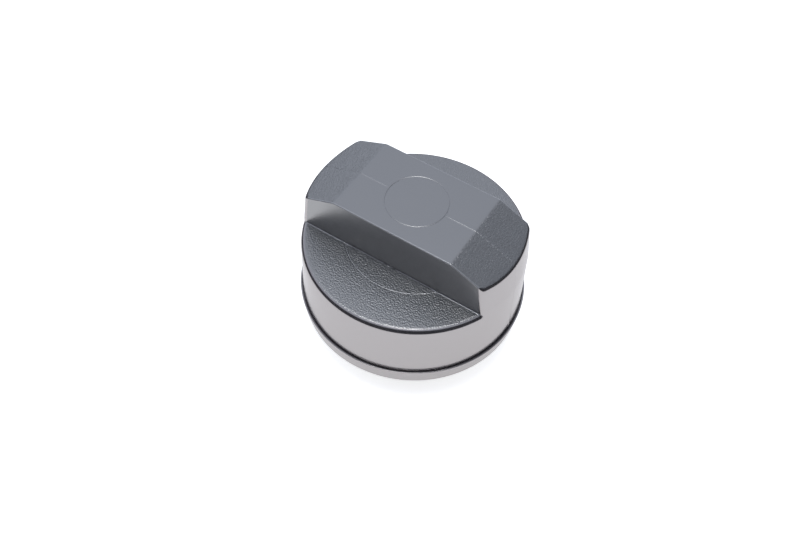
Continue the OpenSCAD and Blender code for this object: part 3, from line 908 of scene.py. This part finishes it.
@dataclass(frozen=True)
class Cover:
    """The moulded cover with its grip bar.

    Attributes:
        radius: outer radius of the wall at its foot.
        wall_draft: how far the wall draws in from its foot to the lower faces.
        grip_draft: how far the bar's end walls draw in from the lower faces to the bar's top.
        wall: thickness of the moulding.
        foot: height of the wall's foot above the rim.
        step: how far the wall's foot steps in behind the band.
        step_height: height of that step above the rim.
        face: height of the lower faces above the rim.
        face_edge: radius of the lower faces' outer edge.
        top: height of the bar's flat top above the rim.
        top_width: width of the bar at its top.
        foot_width: width of the bar at its foot.
        flat: length of the bar's flat top.
        slope: fall of the bar's end faces in degrees.
        bend: half the length over which the flat top bends into an end face.
        grip_edge: radius that rounds the upper edge of the bar's ends.
        grip_corner: radius that rounds the bar's upright corners.
        circle: radius of the fine circle on the top.
        arc: radius of the fine arcs on the lower faces.
        line: width of the fine lines.
        line_depth: depth of the fine lines.
        parting: height of the parting line.
        snap: depth of the groove that takes the ring's bead.
        snap_height: height of that groove above the rim.
        rib: thickness of the ribs.
        rib_ring: radius of the ring rib.
        boss: radius of the screws' bosses.
        boss_hole: radius of their holes.
        boss_foot: height of the bosses' and the ring rib's foot above the rim.
        boss_top: height where the bosses' holes end above the rim.
        boss_cap: thickness of the plastic over those holes.
        screws: distances of the screws from the axis, along the bar and across it.
        highlight_edge: width of the eased edges, which are painted paler as a highlight.
        highlight_edge_angle: least angle between two faces at such an edge, in degrees.
    """

    radius: float = 35.45 * MM
    wall_draft: float = 0.4 * MM
    grip_draft: float = 1.7 * MM
    wall: float = 2.4 * MM
    foot: float = 1.6 * MM
    step: float = 0.5 * MM
    step_height: float = 5.45 * MM
    face: float = 27.1 * MM
    face_edge: float = 1.7 * MM
    top: float = 43.6 * MM
    top_width: float = 28.8 * MM
    foot_width: float = 28.2 * MM
    flat: float = 40 * MM
    slope: float = 23.0
    bend: float = 0.5 * MM
    grip_edge: float = 1.6 * MM
    grip_corner: float = 1.8 * MM
    circle: float = 9.6 * MM
    arc: float = 21.8 * MM
    line: float = 0.3 * MM
    line_depth: float = 0.1 * MM
    parting: float = 0.04 * MM
    snap: float = 0.45 * MM
    snap_height: float = 4 * MM
    rib: float = 1.6 * MM
    rib_ring: float = 21.8 * MM
    boss: float = 3.2 * MM
    boss_hole: float = 1.55 * MM
    boss_foot: float = 18.4 * MM
    boss_top: float = 30.4 * MM
    boss_cap: float = 2 * MM
    screws: tuple[float, float] = (24 * MM, 9.5 * MM)
    # The eased edges take a paler finish: a painted highlight along them.
    highlight_edge: float = 0.35 * MM
    highlight_edge_angle: float = 70.0

    RIB_SEGMENTS = 128
    BOSS_SEGMENTS = 48

    def build(self) -> bpy.types.Object:
        """Builds the outer and the inner skin, joins them at the foot and dresses them.

        Returns:
            The finished cover.
        """
        outer = Skin(
            radius=self.radius - self.wall_draft,
            draft=self.wall_draft / (self.face - self.step_height),
            lean=self.grip_draft / (self.top - self.face),
            foot_z=RIM_Z + self.foot, step_z=RIM_Z + self.step_height, step=self.step,
            face_z=RIM_Z + self.face, rim=self.face_edge,
            top_z=RIM_Z + self.top - self.parting,
            top_half=self.top_width / 2, foot_half=self.foot_width / 2, flat_half=self.flat / 2,
            slope=self.slope, end=self.grip_edge, corner=self.grip_corner, kink=self.bend,
            circle=self.circle, arc=self.arc, line=self.line, depth=self.line_depth,
            ridge=self.parting, snap_z=RIM_Z + self.snap_height,
        )
        work = Patchwork()
        outer_loop = outer.add_to(work, Zone.WALL, Zone.TOP, Zone.GRAIN, Zone.SIDE)
        inner = outer.inset(self.wall, self.snap)
        inner_loop = inner.add_to(work, Zone.WALL, Zone.WALL, Zone.WALL, Zone.WALL)
        work.add(np.stack([outer_loop, inner_loop]), Zone.WALL)
        self._stiffen(work)
        # The walls' nylon is painted lighter and the bar sides' darker: painted light and painted
        # shade.
        finishes = (POLISHED_NYLON_PAINTED_LIGHT, SPARKED_NYLON, GRAINED_NYLON_SHADED_HOLLOWS, SATIN_NYLON_PAINTED_SHADE, EDGE_HIGHLIGHT_NYLON)
        piece = work.build("cover_moulding", finishes)
        # The bevels take the paler finish: a painted highlight on the edges.
        add_bevel(piece, self.highlight_edge, self.highlight_edge_angle, Zone.EDGE)
        return place(piece, "cap", "cover_plastic", "grip_cover")

    def _stiffen(self, work: Patchwork) -> None:
        """Adds the ribs under the lower faces and in the bar, and the bosses of the four screws.

        Args:
            work: where the surfaces go.
        """
        ceiling = self.face - self.wall
        sunk = self.wall / 2
        inside, outside = self.rib_ring - self.rib / 2, self.rib_ring + self.rib / 2
        hung = [(inside, self.boss_foot), (outside, self.boss_foot),
                (outside, ceiling + sunk), (inside, ceiling + sunk)]
        work.add(turned(hung, self.RIB_SEGMENTS), Zone.SIDE)
        top, half = self.top - sunk, self.foot_width / 2 - sunk
        for x in (-self.flat / 4, self.flat / 4):
            across = [(-half, ceiling), (half, ceiling), (half, top), (-half, top)]
            work.add(slab(across, 0, x, self.rib), Zone.SIDE)
        end = self.radius - self.wall_draft - self.grip_draft - sunk
        fall = (end - self.flat / 2) * math.tan(math.radians(self.slope)) + self.rib / 2
        along = [(-end, ceiling), (end, ceiling), (end, top - fall), (self.flat / 2, top),
                 (-self.flat / 2, top), (-end, top - fall)]
        work.add(slab(along, 1, 0.0, self.rib), Zone.SIDE)
        closed = self.boss_top + self.boss_cap
        boss = [(self.boss_hole, self.boss_foot), (self.boss, self.boss_foot),
                (self.boss, closed), (0.0, closed),
                (0.0, self.boss_top), (self.boss_hole, self.boss_top)]
        for x in (-self.screws[0], self.screws[0]):
            for y in (-self.screws[1], self.screws[1]):
                spot = np.array([x, y, 0.0])
                work.add(turned(boss, self.BOSS_SEGMENTS) + spot, Zone.SIDE)


@dataclass(frozen=True)
class BaseRing:
    """The low band round the foot of the wall.

    Attributes:
        wall_radius: radius of the wall that it holds.
        wall: distance from there to the wall's inner side.
        step: how far the wall's foot steps in behind the band.
        height: height of the band.
        out: how far the band's upper edge stands out from the wall.
        draft: how far the band draws in towards its foot.
        web: thickness of the web under the wall.
        lip: thickness of the inner wall.
        lip_height: height of the inner wall.
        groove: width of the groove between the wall and the band.
        groove_depth: depth of that groove.
        fit: clearance to the wall.
        bead: half the height of the bead that snaps into the cover.
        bead_out: how far the bead stands out.
        bead_height: height of the bead above the rim.
        edge: radius that rounds the ring's edges.
    """

    wall_radius: float = 35.45 * MM
    wall: float = 2.8 * MM
    step: float = 0.5 * MM
    height: float = 5.8 * MM
    out: float = 0.85 * MM
    draft: float = 0.8 * MM
    web: float = 1.6 * MM
    lip: float = 1.1 * MM
    lip_height: float = 5 * MM
    groove: float = 0.25 * MM
    groove_depth: float = 0.5 * MM
    fit: float = 0.05 * MM
    bead: float = 0.45 * MM
    bead_out: float = 0.35 * MM
    bead_height: float = 4 * MM
    edge: float = 0.15 * MM

    SEGMENTS = 256

    def build(self) -> bpy.types.Object:
        """Turns the ring's rounded outline about the axis and dresses it.

        Returns:
            The finished ring.
        """
        side = self.wall_radius - self.step + self.fit
        lip_out = self.wall_radius - self.wall - self.fit
        lip_in = lip_out - self.lip
        band = self.wall_radius + self.out
        bottom = self.height - self.groove_depth
        outline = rounded(
            [
                (lip_in, 0), (band - self.draft, 0), (band, self.height),
                (self.wall_radius + self.groove, self.height),
                (self.wall_radius + self.groove, bottom), (side, bottom), (side, self.web),
                (lip_out, self.web), (lip_out, self.bead_height - self.bead),
                (lip_out + self.bead_out, self.bead_height),
                (lip_out, self.bead_height + self.bead),
                (lip_out, self.lip_height), (lip_in, self.lip_height),
            ],
            self.edge,
        )
        work = Patchwork()
        work.add(turned(outline, self.SEGMENTS))
        # The band takes the nylon painted lighter: painted light.
        piece = work.build("base_band", (POLISHED_NYLON_PAINTED_LIGHT,))
        return place(piece, "cap", "ring_plastic", "base_ring")


@dataclass(frozen=True)
class Spring:
    """A coiled compression spring with closed ends.

    Attributes:
        node: the solid that it stands for, which gives its outer radius and its two ends.
        body: the body that it rides on.
        wire: diameter of the wire.
        coils: number of coils, with the two closed ones.
        joint: the joint that presses it; not used.
        fixed: height of the end that stays; not used.
        keep: share of its length at the joint's limit; not used.
    """

    node: str
    body: str
    wire: float
    coils: float
    joint: str
    fixed: float
    keep: float

    STEPS = 36
    SIDES = 16
    TIP_STEPS = 4
    CLOSED_PITCH = 1.04

    def build(self) -> bpy.types.Object:
        """Carries the wire's round section along the coils and rounds its two ends.

        The wire climbs by just over its own diameter in the first and in the last coil, and evenly
        between them. At the ends its section shrinks to a point as a half ball does.

        Returns:
            The finished spring.
        """
        low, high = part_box(self.node)
        radius = self.wire / 2
        mean = (high.x - low.x) / 2 - radius
        rise = high.z - low.z - self.wire
        closed = self.CLOSED_PITCH * self.wire
        share = np.linspace(0, self.coils, round(self.coils * self.STEPS) + 1)
        lift = np.interp(
            share, [0, 1, self.coils - 1, self.coils], [0, closed, rise - closed, rise]
        )
        ball = np.linspace(0, math.pi / 2, self.TIP_STEPS + 1)[:-1]
        size = np.concatenate([np.sin(ball), np.ones(len(share)), np.sin(ball)[::-1]])
        tip = radius * np.cos(ball) / mean
        angle = 2 * math.pi * share
        tip_turn = radius / mean
        angle = np.concatenate([tip_turn - tip, angle, angle[-1] - tip_turn + tip[::-1]])
        used = (angle >= tip_turn) & (angle <= 2 * math.pi * self.coils - tip_turn)
        used[:self.TIP_STEPS] = used[-self.TIP_STEPS:] = True
        angle, size = angle[used], size[used]
        height = low.z + radius + np.interp(angle / (2 * math.pi), share, lift)
        turn = np.linspace(0, 2 * math.pi, self.SIDES + 1)
        out = mean + radius * size[:, None] * np.cos(turn)
        x, y = out * np.cos(angle)[:, None], out * np.sin(angle)[:, None]
        z = height[:, None] + radius * size[:, None] * np.sin(turn)
        work = Patchwork()
        work.add(np.stack([x, y, z], axis=-1))
        piece = work.build(self.node + "_wire", (SPRING_STEEL,))
        place(piece, self.body, "spring_steel", self.node)
        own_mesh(piece)
        return piece


@dataclass(frozen=True)
class Viewpoint:
    """Where the photograph was taken from, and its lens.

    Attributes:
        azimuth: degrees from the front towards the right.
        elevation: degrees above the horizon.
        roll: degrees that the camera leans to its right.
        distance: distance to the aim along the view.
        aim: height of the aim above the rim.
        focal: focal length in pixels of the photograph.
        centre: where the aim falls in the photograph, in pixels.
    """

    azimuth: float = 30.803
    elevation: float = 53.935
    roll: float = 2.348
    distance: float = 304.7 * MM
    aim: float = 17.5 * MM
    focal: float = 966.27
    centre: tuple[float, float] = (414.03, 254.44)

    FRAME_SIZE = (800, 533)
    SENSOR = 36.0

    def direction(self) -> Vector:
        """Direction from the aim towards the camera."""
        turn, lift = math.radians(self.azimuth), math.radians(self.elevation)
        return Vector(
            (math.sin(turn) * math.cos(lift), -math.cos(turn) * math.cos(lift), math.sin(lift))
        )

    def build(self) -> bpy.types.Object:
        """Sets up the camera and makes it the scene's own.

        Returns:
            The camera.
        """
        turn, lean = math.radians(self.azimuth), math.radians(self.roll)
        back = self.direction()
        level = Vector((math.cos(turn), math.sin(turn), 0))
        above = back.cross(level)
        right = math.cos(lean) * level + math.sin(lean) * above
        up = math.cos(lean) * above - math.sin(lean) * level
        width, height = self.FRAME_SIZE
        aside = (self.centre[0] - width / 2) * self.distance / self.focal
        below = (self.centre[1] - height / 2) * self.distance / self.focal
        aim = Vector((0, 0, RIM_Z + self.aim))
        data = bpy.data.cameras.new("camera")
        data.sensor_fit = "HORIZONTAL"
        data.sensor_width = self.SENSOR
        data.lens = self.focal * self.SENSOR / width
        data.clip_start, data.clip_end = 10 * MM, 20.0
        camera = bpy.data.objects.new("camera", data)
        bpy.context.scene.collection.objects.link(camera)
        turned_axes = Matrix((right, up, back)).transposed().to_4x4()
        spot = aim + self.distance * back - aside * right + below * up
        camera.matrix_world = Matrix.Translation(spot) @ turned_axes
        bpy.context.scene.camera = camera
        return camera


def aimed(azimuth: float, elevation: float) -> tuple[float, float, float]:
    """Gives the unit vector of a direction.

    Args:
        azimuth: degrees from the right, turning towards the back.
        elevation: degrees above the horizon.

    Returns:
        Its three parts.
    """
    turn, lift = math.radians(azimuth), math.radians(elevation)
    return (math.cos(turn) * math.cos(lift), math.sin(turn) * math.cos(lift), math.sin(lift))


@dataclass(frozen=True)
class Patch:
    """A round part of the tent that is darker than the rest, with a soft border.

    Attributes:
        azimuth: degrees from the right, turning towards the back.
        elevation: degrees above the horizon.
        spread: half the angle that it covers, in degrees.
        soft: half the width of its soft border, in degrees.
        level: what it leaves of the tent's light.
    """

    azimuth: float
    elevation: float
    spread: float
    soft: float
    level: float

    def add_to(self, tree: bpy.types.NodeTree, way: bpy.types.NodeSocket) -> bpy.types.NodeSocket:
        """Adds the patch's nodes.

        Args:
            tree: the world's tree.
            way: the direction that is looked at.

        Returns:
            The share of light left in that direction.
        """
        towards = add_node(
            tree, "ShaderNodeVectorMath", {"operation": "DOT_PRODUCT"},
            {0: way, 1: aimed(self.azimuth, self.elevation)},
        ).outputs["Value"]
        border = [math.cos(math.radians(self.spread + side * self.soft)) for side in (1, -1)]
        return add_node(
            tree, "ShaderNodeMapRange", {"interpolation_type": "SMOOTHSTEP"},
            {
                "Value": towards, "From Min": border[0], "From Max": border[1],
                "To Min": 1.0, "To Max": self.level,
            },
        ).outputs["Result"]


@dataclass(frozen=True)
class Studio:
    """A white floor in a white tent, with a dark opening where the camera stands.

    Attributes:
        low: strength of the tent near the floor.
        high: strength of the tent overhead.
        climb: sines of the elevations between which the tent's strength changes.
        tint: colour of the tent as sRGB hex.
        patches: the parts of the tent that are darker.
        lamp: power of the soft lamp overhead in watts.
        lamp_size: side of the lamp.
        lamp_place: where the lamp hangs.
        floor_size: side of the floor.
        floor_colour: colour of the floor as sRGB hex.
        floor_dark: its colour in reflections away from the cap, as sRGB hex.
        floor_lift: how much brighter the floor is seen than its light makes it.
        floor_ends: distances from the cap's axis between which the floor's reflection fades.
    """

    low: float = 1.25
    high: float = 0.9
    climb: tuple[float, float] = (-0.1, 0.6)
    tint: str = "#e4ebfa"
    patches: tuple[Patch, ...] = (
        Patch(-59.2, -64, 116, 5, 0.03), Patch(50, 50, 26, 10, 0.5),
    )
    lamp: float = 1.7
    lamp_size: float = 0.3
    lamp_place: tuple[float, float, float] = (0.0, -0.05, 0.8)
    floor_size: float = 6.0
    floor_colour: str = "#f7f7f7"
    floor_dark: str = "#3c3c3c"
    floor_lift: float = 0.75
    floor_ends: tuple[float, float] = (90 * MM, 150 * MM)

    def build(self) -> None:
        """Builds the world, the lamp and the floor."""
        scene = bpy.context.scene
        scene.view_settings.view_transform = "Standard"
        self._world(scene)
        self._lamp(scene)
        self._floor(scene)

    def _world(self, scene: bpy.types.Scene) -> None:
        """Makes the surroundings white to the camera and a tent with its openings as light."""
        world = bpy.data.worlds.new("white_tent")
        world.use_nodes = True
        tree = world.node_tree
        tree.nodes.clear()
        way = add_node(tree, "ShaderNodeTexCoord").outputs["Generated"]
        height = add_node(tree, "ShaderNodeSeparateXYZ", None, {"Vector": way}).outputs["Z"]
        overhead = add_node(
            tree, "ShaderNodeMapRange", {"interpolation_type": "SMOOTHSTEP"},
            {"Value": height, "From Min": self.climb[0], "From Max": self.climb[1]},
        ).outputs["Result"]
        strength = add_node(
            tree, "ShaderNodeMix", None, {0: overhead, 2: self.low, 3: self.high}
        ).outputs[0]
        for patch in self.patches:
            strength = add_node(
                tree, "ShaderNodeMath", {"operation": "MULTIPLY"},
                {0: strength, 1: patch.add_to(tree, way)},
            ).outputs["Value"]
        tent = add_node(
            tree, "ShaderNodeBackground", None, {"Color": linear(self.tint), "Strength": strength}
        ).outputs["Background"]
        backdrop = add_node(
            tree, "ShaderNodeBackground", None, {"Color": linear("#ffffff"), "Strength": 1.0}
        ).outputs["Background"]
        camera = add_node(tree, "ShaderNodeLightPath").outputs["Is Camera Ray"]
        shown = add_node(
            tree, "ShaderNodeMixShader", None, {0: camera, 1: tent, 2: backdrop}
        ).outputs["Shader"]
        add_node(tree, "ShaderNodeOutputWorld", None, {"Surface": shown})
        scene.world = world

    def _lamp(self, scene: bpy.types.Scene) -> None:
        """Hangs the soft lamp over the cap."""
        data = bpy.data.lights.new("soft_lamp", "AREA")
        data.energy = self.lamp
        data.shape = "SQUARE"
        data.size = self.lamp_size
        lamp = bpy.data.objects.new("soft_lamp", data)
        scene.collection.objects.link(lamp)
        spot = Vector(self.lamp_place)
        lamp.matrix_world = (
            Matrix.Translation(spot) @ (-spot).to_track_quat("-Z", "Y").to_matrix().to_4x4()
        )

    def _floor(self, scene: bpy.types.Scene) -> None:
        """Lays the floor: white, with a faint shadow, and dark in reflections away from the cap."""
        material = bpy.data.materials.new("board_painted_white")
        material.use_nodes = True
        tree = material.node_tree
        tree.nodes.clear()
        path = add_node(tree, "ShaderNodeLightPath").outputs
        spot = add_node(tree, "ShaderNodeTexCoord").outputs["Object"]
        away = add_node(
            tree, "ShaderNodeVectorMath", {"operation": "LENGTH"}, {0: spot}
        ).outputs["Value"]
        past = add_node(
            tree, "ShaderNodeMapRange", {"interpolation_type": "SMOOTHSTEP"},
            {"Value": away, "From Min": self.floor_ends[0], "From Max": self.floor_ends[1]},
        ).outputs["Result"]
        dark = add_node(
            tree, "ShaderNodeMath", {"operation": "MULTIPLY"}, {0: past, 1: path["Is Glossy Ray"]}
        ).outputs["Value"]
        colour = add_node(
            tree, "ShaderNodeMix", {"data_type": "RGBA"},
            {0: dark, 6: linear(self.floor_colour), 7: linear(self.floor_dark)},
        ).outputs[2]
        matt = add_node(tree, "ShaderNodeBsdfDiffuse", None, {"Color": colour}).outputs["BSDF"]
        seen = add_node(
            tree, "ShaderNodeMath", {"operation": "MAXIMUM"},
            {0: path["Is Camera Ray"], 1: path["Is Glossy Ray"]},
        ).outputs["Value"]
        seen = add_node(
            tree, "ShaderNodeMath", {"operation": "MAXIMUM"},
            {0: seen, 1: path["Is Transmission Ray"]},
        ).outputs["Value"]
        lit = add_node(
            tree, "ShaderNodeMath", {"operation": "SUBTRACT"}, {0: seen, 1: dark}
        ).outputs["Value"]
        lift = add_node(
            tree, "ShaderNodeMath", {"operation": "MULTIPLY"}, {0: lit, 1: self.floor_lift}
        ).outputs["Value"]
        glow = add_node(
            tree, "ShaderNodeEmission", None, {"Color": linear("#ffffff"), "Strength": lift}
        ).outputs["Emission"]
        both = add_node(tree, "ShaderNodeAddShader", None, {0: matt, 1: glow}).outputs["Shader"]
        add_node(tree, "ShaderNodeOutputMaterial", None, {"Surface": both})
        side = np.array([-self.floor_size / 2, self.floor_size / 2])
        x, y = np.meshgrid(side, side)
        mesh = bpy.data.meshes.new("floor")
        corners = np.stack([x, y, 0 * x], axis=-1).reshape(-1, 3)
        mesh.from_pydata(corners.tolist(), [], grid_faces(2, 2).tolist())
        mesh.materials.append(material)
        floor = bpy.data.objects.new("floor", mesh)
        scene.collection.objects.link(floor)


def main() -> None:
    """Builds the studio and every piece of the cap."""
    logging.basicConfig(level=logging.INFO, format="%(name)s %(message)s")
    Viewpoint().build()
    Studio().build()
    Cover().build()
    BaseRing().build()
    Spring("main_spring", "cap", 1.4 * MM, 3.5, "seal_slide", 27 * MM, 0.702).build()
    Spring("pressure_spring", "cap", 1.1 * MM, 5, "pressure_valve_lift", 20 * MM, 0.833).build()
    Spring(
        "vacuum_spring", "pressure_valve", 0.5 * MM, 4.5, "vacuum_valve_drop", 8 * MM, 0.7
    ).build()
    dress(BODY_ACETAL, "closure_body")
    dress(NATURAL_ACETAL, "seal_plate", "valve_housing", "valve_cap", "pressure_plate",
          "vacuum_valve", "splash_baffle")
    dress(NITRILE, "gasket", "housing_o_ring", "pressure_seal", "vacuum_seal")
    dress(SPRING_STEEL, "retaining_ring", "vacuum_retainer")
    dress(ZINC_STEEL, "cover_screw_1", "cover_screw_2", "cover_screw_3", "cover_screw_4")


if __name__ == "__main__":
    main()
